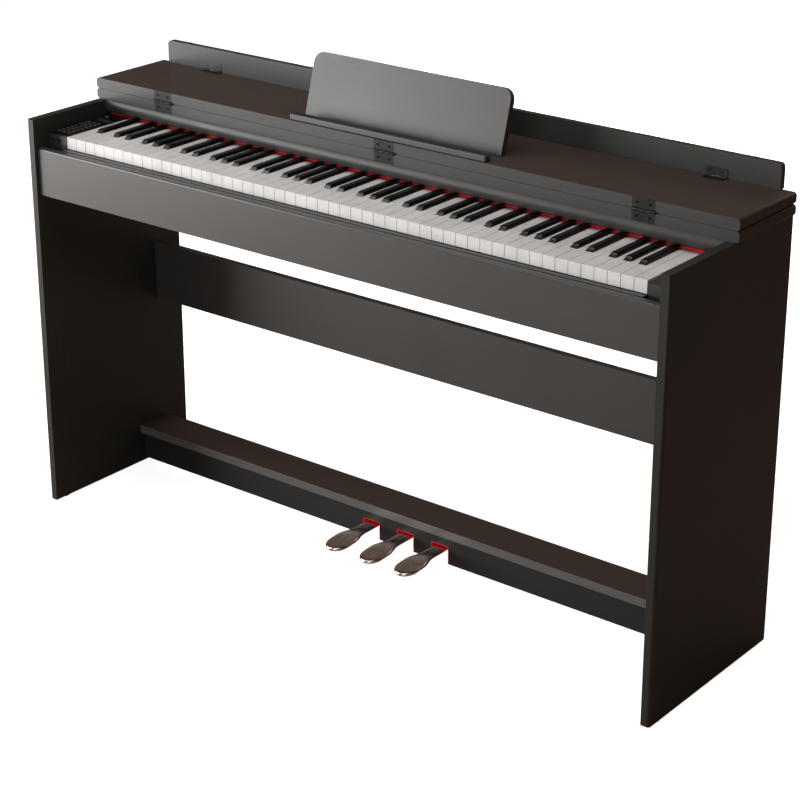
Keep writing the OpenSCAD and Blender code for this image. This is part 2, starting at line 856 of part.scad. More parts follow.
module case_hinge_leaves() {
    side = hinge_w / 2 - barrel_half;  // length of the barrel on each side of the lid's
    color(dark_steel) set_back() for (x = hinge_x) {
        hinge_leaf(x, case_h, case_leaf_z1);
        for (x0 = [x - hinge_w / 2, x + barrel_half]) hinge_barrel(x0 + play, x0 + side - play, false);
    }
}

// The screws of one leaf, with their middles at height z
module leaf_screws(x, z) {
    for (s = [-1, 1]) translate([x + s * screw_x, top_front + leaf_t, z]) rotate([90, 0, 0])
        screw_head(screw_r, leaf_t + 0.3);
}

module case_hinge_screws() {
    color(dark_steel) set_back() for (x = hinge_x) leaf_screws(x, (case_h + case_leaf_z1) / 2);
}

module lid_hinge_pins() {
    color(dark_steel) set_back() for (x = hinge_x) {
        along_x(x - hinge_w / 2, x + hinge_w / 2, hinge_y, hinge_z, hinge_pin_r);
        along_x(x + hinge_w / 2, x + hinge_w / 2 + 2, hinge_y, hinge_z, knuckle_r);
    }
}

/* ---- lid ---- */

module lid_board() {
    color(dark_brown) set_back() difference() {
        rounded_board(lid_z0);
        for (x = hinge_x) hinge_mortise(x, hinge_z - cut, lid_z1 + cut);
    }
}

// Small butt hinges: where the knuckles of the outer leaf, or of the middle one, begin along the pin
function knuckle_starts(middle) = middle ? [-small_third / 2 + play] : [-small_w / 2, small_third / 2 + play];
function knuckle_len(middle) = small_third - (middle ? 2 : 1) * play;

// A leaf that starts at the pin and runs along +Y, lying small_r under the pin
module small_leaf(middle) {
    leaf_z1 = -small_r + small_leaf_t;
    difference() {
        union() {
            span([-small_w / 2, small_r + 0.3, -small_r], [small_w / 2, small_leaf_d, leaf_z1]);
            for (x = knuckle_starts(middle)) {
                along_x(x, x + knuckle_len(middle), 0, 0, small_r);
                span([x, 0, -small_r], [x + knuckle_len(middle), small_r + 1, leaf_z1]);
            }
        }
        along_x(-small_w, small_w, 0, 0, small_pin_r + running);
        for (s = [-1, 1]) translate([s * screw_x, small_screw_y, -small_r - cut])
            cylinder(h = small_leaf_t + 2 * cut, r = small_screw_r + play);
    }
}

// The two screws of a small leaf
module small_screws() {
    for (s = [-1, 1]) translate([s * screw_x, small_screw_y, -small_r + running])
        screw_head(small_screw_r, small_leaf_t + 0.2);
}

module at_flap_hinges() {
    for (s = [-1, 1]) translate([s * flap_hinge_x, flap_axis_y, small_axis_z]) children();
}

module at_rest_hinges() {
    for (s = [-1, 1]) translate([s * rest_hinge_x, rest_axis_y, small_axis_z]) children();
}

module lid_hinge_leaves() {
    color(dark_steel) set_back() {
        for (x = hinge_x) {
            hinge_leaf(x, lid_leaf_z0, lid_z1);
            hinge_barrel(x - barrel_half + play, x + barrel_half - play, true);
        }
        at_flap_hinges() mirror([0, 1, 0]) small_leaf(false);
        at_rest_hinges() small_leaf(false);
    }
}

module lid_screws() {
    color(dark_steel) set_back() {
        for (x = hinge_x) leaf_screws(x, (lid_leaf_z0 + lid_z1) / 2);
        at_flap_hinges() mirror([0, 1, 0]) small_screws();
        at_rest_hinges() small_screws();
    }
}

module small_hinge_pins() {
    color(steel) set_back() {
        at_flap_hinges() along_x(-small_w / 2, small_w / 2, 0, 0, small_pin_r);
        at_rest_hinges() along_x(-small_w / 2, small_w / 2, 0, 0, small_pin_r);
    }
}

module music_ledge() {
    half = ledge_w / 2;
    color(charcoal) set_back()
        span([-half, ledge_y0, lid_z1], [half, ledge_y0 + ledge_d, lid_z1 + ledge_h]);
}

module lid_flap() {
    color(charcoal) set_back() translate([0, flap_y0, lid_z1 + fit])
        round_top_plate(flap_w, flap_h, flap_t, flap_corner_r);
}

module flap_hinge_leaves() {
    color(dark_steel) set_back() at_flap_hinges() rotate([90, 0, 0]) {
        small_leaf(true);
        small_screws();
    }
}

// The rest leans back in front of its hinge line, and its foot is cut level with the line behind
module music_rest() {
    front = -small_r - flap_t;
    top = rest_h + 1;
    color(charcoal) set_back() translate([0, rest_axis_y, small_axis_z]) rotate([-rest_lean, 0, 0])
        intersection() {
            translate([0, front, -rest_foot])
                round_top_plate(rest_w, rest_h + rest_foot, flap_t, rest_corner_r);
            bar(-rest_w, rest_w) polygon([
                [-small_r, 0], [-small_r, top], [front - 1, top], [front - 1, -rest_foot], [front, -rest_foot]
            ]);
        }
}

module rest_hinge_leaves() {
    color(dark_steel) set_back() at_rest_hinges() rotate([-rest_lean, 0, 0])
        mirror([0, 1, 0]) rotate([90, 0, 0]) {
            small_leaf(true);
            small_screws();
        }
}

left_side_panel();
right_side_panel();
front_rail();
keybed_board();
back_panel();
top_board();
modesty_panel();
pedal_shelf();
pedal_front_board();
pedal_notch_felts();
pedal_bracket();
pedal_axle();
cam_locks();
floor_glides();
key_fascia();
red_felt_strip();
key_chassis();
key_pivot_rod();
circuit_boards();
control_block();
control_overlay();
display_window();
headphone_jacks();
right_cheek_block();
speakers();
speaker_grilles();
connection_plate();
case_hinge_leaves();
case_hinge_screws();
lid_hinge_pins();
lid_board();
lid_hinge_leaves();
lid_screws();
music_ledge();
small_hinge_pins();
lid_flap();
flap_hinge_leaves();
music_rest();
rest_hinge_leaves();
soft_pedal();
sostenuto_pedal();
damper_pedal();
function_buttons();
power_button();
bass_white_keys();
bass_black_keys();
treble_white_keys();
treble_black_keys();
key_c4();
key_c_sharp4();
key_d4();
key_d_sharp4();
key_e4();
key_f4();
key_f_sharp4();
key_g4();
key_g_sharp4();
key_a4();
key_a_sharp4();
key_b4();
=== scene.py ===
"""Looks of a slim digital piano on its stand.

Every CAD node gets a material and soft bevels. The pedals and the felts are made again as finer pieces that
stand for their plain CAD solids, and the lid's flap gets rubber buffers.

Lengths are in metres. X runs along the keyboard towards the treble, Y to the back, Z up.
"""

import json
import math
import random

import bmesh
import bpy
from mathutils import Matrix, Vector


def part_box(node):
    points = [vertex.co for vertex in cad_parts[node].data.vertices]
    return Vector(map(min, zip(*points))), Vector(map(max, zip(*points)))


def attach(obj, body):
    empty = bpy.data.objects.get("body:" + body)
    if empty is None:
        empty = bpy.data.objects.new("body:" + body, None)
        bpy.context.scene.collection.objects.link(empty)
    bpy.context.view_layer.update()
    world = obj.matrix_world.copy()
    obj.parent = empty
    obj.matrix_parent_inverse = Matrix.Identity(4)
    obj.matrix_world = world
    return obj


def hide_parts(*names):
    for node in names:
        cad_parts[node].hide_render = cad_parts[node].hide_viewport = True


MM = 0.001

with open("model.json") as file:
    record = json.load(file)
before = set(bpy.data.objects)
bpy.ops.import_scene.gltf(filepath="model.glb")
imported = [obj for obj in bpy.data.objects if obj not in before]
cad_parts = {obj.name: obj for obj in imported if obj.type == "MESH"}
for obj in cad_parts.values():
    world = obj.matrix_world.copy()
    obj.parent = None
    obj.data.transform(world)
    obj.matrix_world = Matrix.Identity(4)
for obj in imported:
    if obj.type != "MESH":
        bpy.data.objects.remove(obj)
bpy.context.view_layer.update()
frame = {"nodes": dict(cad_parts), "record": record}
nodes = frame["nodes"]


# ---- camera, stage and light ----


def look_at(obj, target):
    """Turns a camera or light, which look along their own -Z, to a target."""
    direction = Vector(target) - obj.location
    obj.rotation_euler = direction.to_track_quat("-Z", "Y").to_euler()


def make_camera():
    """The photographer stands right of the piano, looks down a little and uses a long lens."""
    azimuth, elevation = math.radians(-38.306), math.radians(-21.592)    # of the way it looks
    data = bpy.data.cameras.new("camera")
    data.lens = 98.0
    data.sensor_width = 36.0
    data.shift_y = -0.0625
    data.clip_start = 0.05
    data.clip_end = 200.0
    camera = bpy.data.objects.new("camera", data)
    bpy.context.scene.collection.objects.link(camera)
    camera.location = (2.18787, -2.72396, 1.79759)
    level = math.cos(elevation)
    aim = Vector((math.sin(azimuth) * level, math.cos(azimuth) * level, math.sin(elevation)))
    look_at(camera, camera.location + aim)
    bpy.context.scene.camera = camera


def softbox(name, place, target, size, power, colour=(1.0, 1.0, 1.0)):
    """A rectangular area light that looks at a target."""
    data = bpy.data.lights.new(name, "AREA")
    data.shape = "RECTANGLE"
    data.size, data.size_y = size
    data.energy = power
    data.color = colour
    lamp = bpy.data.objects.new(name, data)
    bpy.context.scene.collection.objects.link(lamp)
    lamp.location = place
    look_at(lamp, target)
    return lamp


WARM = (1.0, 0.80, 0.70)
ROOM_STRENGTH = 0.12


def make_lights():
    """A strong key from the left gives the fronts their fall-off from bass to treble. Powers are in watts."""
    softbox("key_softbox", (-3.0, -2.05, 0.86), (0.0, 0.0, 0.6), (2.3, 1.65), 134)
    softbox("fill_softbox", (0.9, -3.3, 1.0), (0.1, 0.0, 0.6), (1.6, 1.2), 25)
    softbox("top_softbox", (-0.2, -0.6, 3.2), (0.0, 0.0, 0.7), (2.6, 1.6), 36)
    softbox("edge_softbox", (-2.05, -1.5, 2.65), (0.0, 0.0, 0.75), (1.1, 0.6), 11)
    softbox("back_softbox", (0.6, 3.6, 2.4), (0.0, 0.0, 0.6), (2.4, 1.6), 18, WARM)
    rear = softbox("rear_softbox", (-1.6, 3.2, 0.8), (0.0, 0.2, 0.5), (1.6, 1.1), 90)
    rear.visible_glossy = False            # it would glare on the lid's top


def make_world():
    """A dim, warm room for the light and the reflections, and a pale backdrop for the camera."""
    world = bpy.data.worlds.new("room")
    world.use_nodes = True
    tree = world.node_tree
    room = tree.nodes["Background"]
    room.inputs["Color"].default_value = (*WARM, 1)
    room.inputs["Strength"].default_value = ROOM_STRENGTH
    backdrop = tree.nodes.new("ShaderNodeBackground")
    backdrop.inputs["Color"].default_value = (1.0, 1.0, 1.0, 1)
    backdrop.inputs["Strength"].default_value = 1.0
    path = tree.nodes.new("ShaderNodeLightPath")
    mix = tree.nodes.new("ShaderNodeMixShader")
    tree.links.new(path.outputs["Is Camera Ray"], mix.inputs["Fac"])
    tree.links.new(room.outputs["Background"], mix.inputs[1])
    tree.links.new(backdrop.outputs["Background"], mix.inputs[2])
    tree.links.new(mix.outputs["Shader"], tree.nodes["World Output"].inputs["Surface"])
    bpy.context.scene.world = world


def make_floor():
    """Pale for the camera; in the light and the reflections it is a warm wooden brown."""
    half = 30.0
    corners = [(-half, -half, 0), (half, -half, 0), (half, half, 0), (-half, half, 0)]
    mesh = bpy.data.meshes.new("floor")
    mesh.from_pydata(corners, [], [(0, 1, 2, 3)])
    floor = bpy.data.objects.new("floor", mesh)
    bpy.context.scene.collection.objects.link(floor)
    material = bpy.data.materials.new("pale_floor")
    material.use_nodes = True
    tree = material.node_tree
    tree.nodes.remove(tree.nodes["Principled BSDF"])

    def shader(kind, colour):
        node = tree.nodes.new(kind)
        node.inputs["Color"].default_value = (*colour, 1)
        return node

    wood = shader("ShaderNodeBsdfDiffuse", (0.36, 0.25, 0.20))
    pale = shader("ShaderNodeBsdfDiffuse", (0.80, 0.80, 0.79))
    glow = shader("ShaderNodeEmission", (1.0, 1.0, 0.995))
    glow.inputs["Strength"].default_value = 0.85
    both = tree.nodes.new("ShaderNodeAddShader")
    tree.links.new(pale.outputs["BSDF"], both.inputs[0])
    tree.links.new(glow.outputs["Emission"], both.inputs[1])
    path = tree.nodes.new("ShaderNodeLightPath")
    mix = tree.nodes.new("ShaderNodeMixShader")
    tree.links.new(path.outputs["Is Camera Ray"], mix.inputs["Fac"])
    tree.links.new(wood.outputs["BSDF"], mix.inputs[1])
    tree.links.new(both.outputs["Shader"], mix.inputs[2])
    tree.links.new(mix.outputs["Shader"], tree.nodes["Material Output"].inputs["Surface"])
    mesh.materials.append(material)


# ---- materials ----


class Finish:
    """A material and its node tree, with short calls for what the finishes below have in common."""

    def __init__(self, name, colour, roughness, **sockets):
        self.material = bpy.data.materials.new(name)
        self.material.use_nodes = True
        self.tree = self.material.node_tree
        self.surface = self.tree.nodes["Principled BSDF"]
        self.surface.inputs["Base Color"].default_value = (*colour, 1)
        self.surface.inputs["Roughness"].default_value = roughness
        for socket, value in sockets.items():
            self.surface.inputs[socket.replace("_", " ")].default_value = value
        self.material.diffuse_color = (*colour, 1)
        self.place = self.tree.nodes.new("ShaderNodeTexCoord").outputs["Object"]
        self.height = None

    def noise(self, cell, detail=3.0, roughness=0.5):
        """Noise whose cells are cell = (x, y, z) millimetres across."""
        scale = self.tree.nodes.new("ShaderNodeMapping")
        scale.inputs["Scale"].default_value = [1 / (c * MM) for c in cell]
        self.tree.links.new(self.place, scale.inputs["Vector"])
        noise = self.tree.nodes.new("ShaderNodeTexNoise")
        noise.inputs["Scale"].default_value = 1.0
        noise.inputs["Detail"].default_value = detail
        noise.inputs["Roughness"].default_value = roughness
        self.tree.links.new(scale.outputs["Vector"], noise.inputs["Vector"])
        return noise.outputs["Fac"]

    def ramp(self, value, stops):
        """Colours along a value; stops are (position, colour)."""
        ramp = self.tree.nodes.new("ShaderNodeValToRGB")
        points = ramp.color_ramp.elements
        while len(points) < len(stops):
            points.new(0.5)
        for point, (position, colour) in zip(points, stops):
            point.position = position
            point.color = (*colour, 1)
        self.tree.links.new(value, ramp.inputs["Fac"])
        return ramp.outputs["Color"]

    def remap(self, value, low, high, start=0.3, end=0.7):
        """A number from low to high as value goes from start to end."""
        remap = self.tree.nodes.new("ShaderNodeMapRange")
        ends = {"From Min": start, "From Max": end, "To Min": low, "To Max": high}
        for socket, number in ends.items():
            remap.inputs[socket].default_value = number
        self.tree.links.new(value, remap.inputs["Value"])
        return remap.outputs["Result"]

    def add(self, a, b):
        """The sum of two numbers."""
        both = self.tree.nodes.new("ShaderNodeMath")
        both.operation = "ADD"
        self.tree.links.new(a, both.inputs[0])
        self.tree.links.new(b, both.inputs[1])
        return both.outputs["Value"]

    def drive(self, socket, value):
        """Feeds a value that varies over the surface into one of the shader's sockets."""
        self.tree.links.new(value, self.surface.inputs[socket])

    def bump(self, value, depth_mm, strength=1.0):
        """Relief depth_mm deep, on top of any relief made before."""
        bump = self.tree.nodes.new("ShaderNodeBump")
        bump.inputs["Distance"].default_value = depth_mm * MM
        bump.inputs["Strength"].default_value = strength
        self.tree.links.new(value, bump.inputs["Height"])
        if self.height:
            self.tree.links.new(self.height, bump.inputs["Normal"])
        self.height = bump.outputs["Normal"]
        self.tree.links.new(self.height, self.surface.inputs["Normal"])


def shade(colour, factor):
    """A colour made darker or lighter by a factor."""
    return tuple(c * factor for c in colour)


def laminate(name, colour, along, roughness=0.42, sheen=0.7):
    """Embossed wood-grain foil: fine faint streaks along one axis (0 to 2), pores and an uneven satin."""

    def cell(length, width):
        return [length if axis == along else width for axis in range(3)]

    finish = Finish(name, colour, roughness, Specular_IOR_Level=sheen)
    streaks = finish.noise(cell(190, 1.9), detail=5, roughness=0.62)
    tones = [(0.3, shade(colour, 0.86)), (0.5, colour), (0.72, shade(colour, 1.15))]
    finish.drive("Base Color", finish.ramp(streaks, tones))
    pores = finish.noise(cell(30, 0.6), detail=3, roughness=0.65)
    cloud = finish.noise((190, 190, 190), detail=2)
    satin = finish.remap(pores, roughness - 0.05, roughness + 0.05)
    finish.drive("Roughness", finish.add(satin, finish.remap(cloud, -0.02, 0.03)))
    finish.bump(pores, 0.05, 0.4)
    finish.bump(streaks, 0.04, 0.3)
    return finish.material


def moulded(name, colour, roughness, grain=0.6, depth=0.02, **sockets):
    """Injection-moulded plastic with a fine spark-eroded texture. Grain and depth are in millimetres."""
    finish = Finish(name, colour, roughness, **sockets)
    texture = finish.noise((grain, grain, grain), detail=2)
    cloud = finish.noise((60, 60, 60), detail=2)
    tones = [(0.3, shade(colour, 0.93)), (0.7, shade(colour, 1.07))]
    finish.drive("Base Color", finish.ramp(cloud, tones))
    finish.drive("Roughness", finish.remap(cloud, roughness - 0.03, roughness + 0.04))
    finish.bump(texture, depth, 0.5)
    return finish.material


def metal(name, colour, roughness, brushed=(30, 0.25, 0.25), depth=0.01):
    """Sheet or turned metal, brushed along X unless told otherwise."""
    finish = Finish(name, colour, roughness, Metallic=1.0)
    lines = finish.noise(brushed, detail=2)
    cloud = finish.noise((25, 25, 25), detail=3)
    tones = [(0.3, shade(colour, 0.85)), (0.7, shade(colour, 1.1))]
    finish.drive("Base Color", finish.ramp(cloud, tones))
    satin = finish.remap(lines, roughness - 0.05, roughness + 0.07)
    finish.drive("Roughness", finish.add(satin, finish.remap(cloud, -0.02, 0.04)))
    finish.bump(lines, depth, 0.4)
    return finish.material


def felt(name, colour):
    """Pressed wool: a soft, mottled nap with stray fibres."""
    finish = Finish(name, colour, 0.95, Sheen_Weight=0.5, Sheen_Roughness=0.5, Specular_IOR_Level=0.15)
    finish.surface.inputs["Sheen Tint"].default_value = (*shade(colour, 1.6), 1)
    fibres = finish.noise((2.4, 0.35, 0.35), detail=4, roughness=0.7)
    nap = finish.noise((0.5, 0.5, 0.5), detail=3)
    mottle = finish.noise((3, 3, 3), detail=4)
    tones = [(0.3, shade(colour, 0.72)), (0.7, shade(colour, 1.12))]
    finish.drive("Base Color", finish.ramp(mottle, tones))
    finish.bump(fibres, 0.15, 0.7)
    finish.bump(nap, 0.1, 0.6)
    return finish.material


CHARCOAL = (0.033, 0.034, 0.0335)
# The brown below is a painted warm reflection, put on the charcoal laminate where it looks up, back or aside
REFLECTION_BROWN = (0.053, 0.036, 0.0285)

charcoal_along_x = laminate("charcoal_laminate_x", CHARCOAL, along=0)
dull_along_x = laminate("charcoal_laminate_dull", CHARCOAL, along=0, roughness=0.46, sheen=0.5)
# The side panels' laminate runs up and is darker and warmer than the charcoal: painted shade of their broad
# faces, which look away from the key light
painted_shade_side_along_z = laminate(
    "charcoal_laminate_side_painted_shade", (0.0240, 0.0238, 0.0198), along=2, roughness=0.45, sheen=0.3,
)
# The pedal shelf's front: a much lighter copy of the charcoal laminate, a painted highlight of the light that
# face catches
painted_highlight_along_x = laminate("charcoal_laminate_painted_highlight", (0.098, 0.100, 0.098), along=0, roughness=0.4)
# A darker copy of the charcoal laminate: painted shade on the toe board and painted shadow on the ledge's
# top, in front of the music rest
painted_shade_along_x = laminate(
    "charcoal_laminate_painted_shade", (0.0180, 0.0182, 0.0180), along=0, roughness=0.5, sheen=0.35,
)
# The brown laminate: a painted warm reflection on faces that don't look to the front
reflection_brown_along_x = laminate("brown_laminate_painted_reflection_x", REFLECTION_BROWN, along=0, roughness=0.5, sheen=0.26)

fascia_foil = moulded("fascia_foil", (0.036, 0.034, 0.033), 0.42, grain=0.9, depth=0.01)
white_plastic = moulded("white_key_plastic", (0.755, 0.742, 0.725), 0.28, grain=1.2, depth=0.006)
black_key = moulded(
    "black_key_plastic", (0.004, 0.004, 0.0042), 0.24, grain=0.5, depth=0.008, Specular_IOR_Level=0.42,
)
black_plastic = moulded("black_plastic", (0.022, 0.022, 0.023), 0.5)
grey_plastic = moulded("grey_plastic", (0.040, 0.040, 0.042), 0.42)
button_plastic = moulded("button_plastic", (0.075, 0.073, 0.064), 0.36)
gloss_panel = moulded(
    "gloss_black_panel", (0.006, 0.006, 0.007), 0.16, grain=2.0, depth=0.003, Coat_Weight=0.3,
)
window_glass = moulded(
    "dark_window", (0.040, 0.042, 0.050), 0.08, grain=3.0, depth=0.002, Coat_Weight=0.6,
)
rubber = moulded("black_rubber", (0.012, 0.012, 0.012), 0.7, grain=0.4, depth=0.02)
circuit_green = moulded("circuit_green", (0.015, 0.10, 0.04), 0.4)

red_felt = felt("red_felt", (0.90, 0.026, 0.040))

dark_steel = metal("dark_steel", (0.040, 0.039, 0.038), 0.5)
satin_steel = metal("satin_steel", (0.075, 0.073, 0.07), 0.42)
black_screw = metal("black_oxide_screw", (0.008, 0.008, 0.008), 0.55)
bright_steel = metal("bright_steel", (0.55, 0.55, 0.54), 0.3)
# The pedals are chrome; the warm tint in their colour is a painted reflection of a wooden room
pedal_chrome = metal("pedal_chrome", (0.78, 0.68, 0.60), 0.2, brushed=(1.5, 60, 1.5), depth=0.0006)

BY_SLOT = {
    "charcoal_laminate": charcoal_along_x,
    "brown_laminate": reflection_brown_along_x,
    "white_key_plastic": white_plastic,
    "black_key_plastic": black_key,
    "black_plastic": black_plastic,
    "grey_plastic": grey_plastic,
    "gloss_black_panel": gloss_panel,
    "dark_window": window_glass,
    "red_felt": red_felt,
    "dark_steel": dark_steel,
    "bright_steel": bright_steel,
    "pedal_chrome": pedal_chrome,
    "circuit_green": circuit_green,
}
OWN_MATERIAL = {
    # The side panels' darker laminate is painted shade
    "left_side_panel": painted_shade_side_along_z,
    "right_side_panel": painted_shade_side_along_z,
    "key_fascia": fascia_foil,
    "case_hinge_screws": black_screw,
    "lid_screws": black_screw,
    # The toe board's darker laminate is painted shade
    "pedal_front_board": painted_shade_along_x,
    "lid_board": dull_along_x,
    "top_board": dull_along_x,
    "lid_flap": dull_along_x,
    "function_buttons": button_plastic,
    "power_button": button_plastic,
    "flap_hinge_leaves": satin_steel,
    "rest_hinge_leaves": satin_steel,
}


# ---- CAD nodes: materials, and bevels that catch the light ----

BEVEL_MM = {
    "white_key_plastic": 0.55,
    "black_key_plastic": 1.1,
    "charcoal_laminate": 0.7,
    "brown_laminate": 0.7,
    "dark_steel": 0.2,
    "bright_steel": 0.2,
}
OWN_BEVEL_MM = {"music_ledge": 2.4}
SMALL_BEVEL_MM = 0.3
WIDE_BEVEL_MM = 1.0                        # wider bevels get one more segment
BEVEL_ANGLE = math.radians(34)             # an edge sharper than this is bevelled
WELD_WITHIN = 0.002 * MM


def dress(node, slot_name):
    """Gives a CAD node its material and the small bevels that the real edges have."""
    obj = nodes[node]
    obj.data.materials.clear()
    obj.data.materials.append(OWN_MATERIAL.get(node, BY_SLOT[slot_name]))
    weld = obj.modifiers.new("weld", "WELD")
    weld.merge_threshold = WELD_WITHIN
    bevel = obj.modifiers.new("bevel", "BEVEL")
    width = OWN_BEVEL_MM.get(node, BEVEL_MM.get(slot_name, SMALL_BEVEL_MM))
    bevel.width = width * MM
    bevel.segments = 3 if width > WIDE_BEVEL_MM else 2
    bevel.limit_method = "ANGLE"
    bevel.angle_limit = BEVEL_ANGLE
    bevel.harden_normals = True
    bevel.use_clamp_overlap = True


for part in frame["record"]["subparts"]:
    dress(part["node"], part["material_slot"])


FACING = 0.6                               # a face looks along an axis if its normal has this much of it


def finish_faces(node, material, wanted):
    """Gives the faces for which wanted(face) is true a material of their own."""
    mesh = nodes[node].data
    mesh.materials.append(material)
    for face in mesh.polygons:
        if wanted(face):
            face.material_index = len(mesh.materials) - 1


# The flat boards get the brown laminate but on their front edges, and the upright ones only on their narrow
# edges: the brown is a painted warm reflection on faces that don't look to the front
for name in ("lid_board", "top_board", "pedal_shelf"):
    finish_faces(name, reflection_brown_along_x, lambda face: face.normal.y > -FACING)
for name in ("lid_flap", "music_rest"):
    finish_faces(name, reflection_brown_along_x, lambda face: abs(face.normal.y) < FACING)
# The shelf's front faces get the painted highlight
finish_faces("pedal_shelf", painted_highlight_along_x, lambda face: face.normal.y < -FACING)
# The ledge's top is darker: painted shadow in front of the music rest
finish_faces("music_ledge", painted_shade_along_x, lambda face: face.normal.z > FACING)

# The chassis's front lip shows between the keys and the rail, and has the rail's finish
LIP_TOP_Z = 0.6966
LIP_NEAR = 0.2 * MM
finish_faces(
    "key_chassis",
    charcoal_along_x,
    lambda face: abs(face.center.z - LIP_TOP_Z) < LIP_NEAR and face.normal.z > FACING,
)

# The small screws are in one node with the flap's hinge leaves
SCREW_UP = 8.4 * MM                        # above the flap hinges' pins
SCREW_ACROSS = 12 * MM                     # from a hinge's middle
SCREW_R = 1.6 * MM
HINGE_HALF = 20 * MM                       # half a hinge's length
leaf_low, leaf_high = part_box("flap_hinge_leaves")
hinge_middles = (leaf_low[0] + HINGE_HALF, leaf_high[0] - HINGE_HALF)
pin_z = next(j["pos_m"][2] for j in frame["record"]["behaviour"]["joints"] if j["name"] == "flap_fold")


def on_a_screw(face):
    """Whether a face is part of a screw's head."""
    aside = min(abs(abs(face.center.x - middle) - SCREW_ACROSS) for middle in hinge_middles)
    return math.hypot(aside, face.center.z - pin_z - SCREW_UP) < SCREW_R


finish_faces("flap_hinge_leaves", black_screw, on_a_screw)


# ---- pieces made here: lathed, lofted and swept skins ----


def skin(name, rings, material, body):
    """A smooth closed mesh through rings of points, with a cap at each end."""
    mesh = bpy.data.meshes.new(name)
    bm = bmesh.new()
    loops = [[bm.verts.new(point) for point in ring] for ring in rings]
    for a, b in zip(loops, loops[1:]):
        for i in range(len(a)):
            j = (i + 1) % len(a)
            bm.faces.new((a[i], a[j], b[j], b[i]))
    bm.faces.new(list(reversed(loops[0])))
    bm.faces.new(loops[-1])
    bmesh.ops.recalc_face_normals(bm, faces=bm.faces)
    for face in bm.faces:
        face.smooth = True
    bm.to_mesh(mesh)
    bm.free()
    mesh.materials.append(material)
    obj = bpy.data.objects.new(name, mesh)
    bpy.context.scene.collection.objects.link(obj)
    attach(obj, body)
    return obj


# -- pedals: cast plates with a rolled rim, dished towards the tip --

PEDAL_STEPS = 40                           # points along each half of a pedal's outline
PEDAL_TIP, PEDAL_FLARE = 26 * MM, (46 * MM, 84 * MM)
PEDAL_DIP, PEDAL_DIP_LENGTH = 5 * MM, 70 * MM
PEDAL_ARM = 27 * MM
PEDAL_THICKNESS = 8 * MM
PEDAL_RIM = 3.6 * MM                       # how far the rim's roll reaches in from the edge
PEDAL_RIM_TURNS = 10
PEDAL_CROWN = 0.5 * MM
# The top's way inwards over the crown: distances from the edge, in rims, and how much of the crown is reached
PEDAL_FLAT = [(1.5, 0.55), (2.2, 0.85), (3.0, 1.0)]
PEDAL_UNDERSIDE = 2.2                      # where the cap of the underside starts, in rims from the edge


def pedal_half_width(d, wide):
    """Half a pedal's width at a distance from its tip."""
    arm = PEDAL_ARM / 2
    flare_start, flare_end = PEDAL_FLARE
    if d < PEDAL_TIP:
        return wide * math.sqrt(max(0.0, 1 - (1 - d / PEDAL_TIP) ** 2))
    if d > flare_end:
        return arm
    t = max(0.0, (d - flare_start) / (flare_end - flare_start))
    return wide + (arm - wide) * (1 - math.cos(math.pi * t)) / 2


def pedal_outline(wide, length):
    """Right half of the outline, from the tip to the rear end."""
    tip_steps = PEDAL_STEPS // 2
    stations = [PEDAL_TIP * (1 - math.cos(math.pi / 2 * i / tip_steps)) for i in range(tip_steps)]
    rest_steps = PEDAL_STEPS - tip_steps
    stations += [PEDAL_TIP + (length - PEDAL_TIP) * i / rest_steps for i in range(rest_steps + 1)]
    return [(pedal_half_width(d, wide), d) for d in stations]


def rolled_in(outline, inset):
    """The half outline moved in by an inset, along its own normals."""
    moved = []
    for i, (x, d) in enumerate(outline):
        if i == 0:
            moved.append((0.0, d + inset))
            continue
        before = outline[i - 1]
        after = outline[min(i + 1, len(outline) - 1)]
        dx, dd = after[0] - before[0], after[1] - before[1]
        size = math.hypot(dx, dd)
        at = (max(0.0, x - inset * dd / size), d + inset * dx / size)
        if i == len(outline) - 1:
            at = (at[0], d - inset)
        moved.append(at)
    return moved


def make_pedal(name, node, body):
    """Stacks the outline, rolled in by the rim, from the underside over the edge to the crown."""
    low_corner, high_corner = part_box(node)
    middle = (low_corner[0] + high_corner[0]) / 2
    tip_y = low_corner[1]
    length = high_corner[1] - tip_y
    arm_z = high_corner[2] - PEDAL_THICKNESS / 2
    outline = pedal_outline((high_corner[0] - low_corner[0]) / 2, length)

    def point(x, d, z):
        dip = -PEDAL_DIP * (1 - d / PEDAL_DIP_LENGTH) ** 2 if d < PEDAL_DIP_LENGTH else 0.0
        return (middle + x, tip_y + d, arm_z + z + dip)

    def ring(inset, z):
        half = rolled_in(outline, inset)
        right = [point(x, d, z) for x, d in half]
        left = [point(-x, d, z) for x, d in reversed(half[1:])]
        return right + left

    half_t = PEDAL_THICKNESS / 2
    rings = [ring(PEDAL_RIM * PEDAL_UNDERSIDE, PEDAL_CROWN - half_t)]
    for i in range(PEDAL_RIM_TURNS + 1):
        angle = math.pi * (i / PEDAL_RIM_TURNS - 0.5)
        rings.append(ring(PEDAL_RIM * (1 - math.cos(angle)), (half_t - PEDAL_CROWN) * math.sin(angle)))
    for rims, rise in PEDAL_FLAT:
        rings.append(ring(PEDAL_RIM * rims, half_t - PEDAL_CROWN * (1 - rise)))
    pedal = skin(name, rings, pedal_chrome, body)
    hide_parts(node)


for kind in ("soft", "sostenuto", "damper"):
    make_pedal(f"{kind}_pedal_plate", f"{kind}_pedal", f"{kind}_pedal")


# -- felts: pressed strips with soft edges --

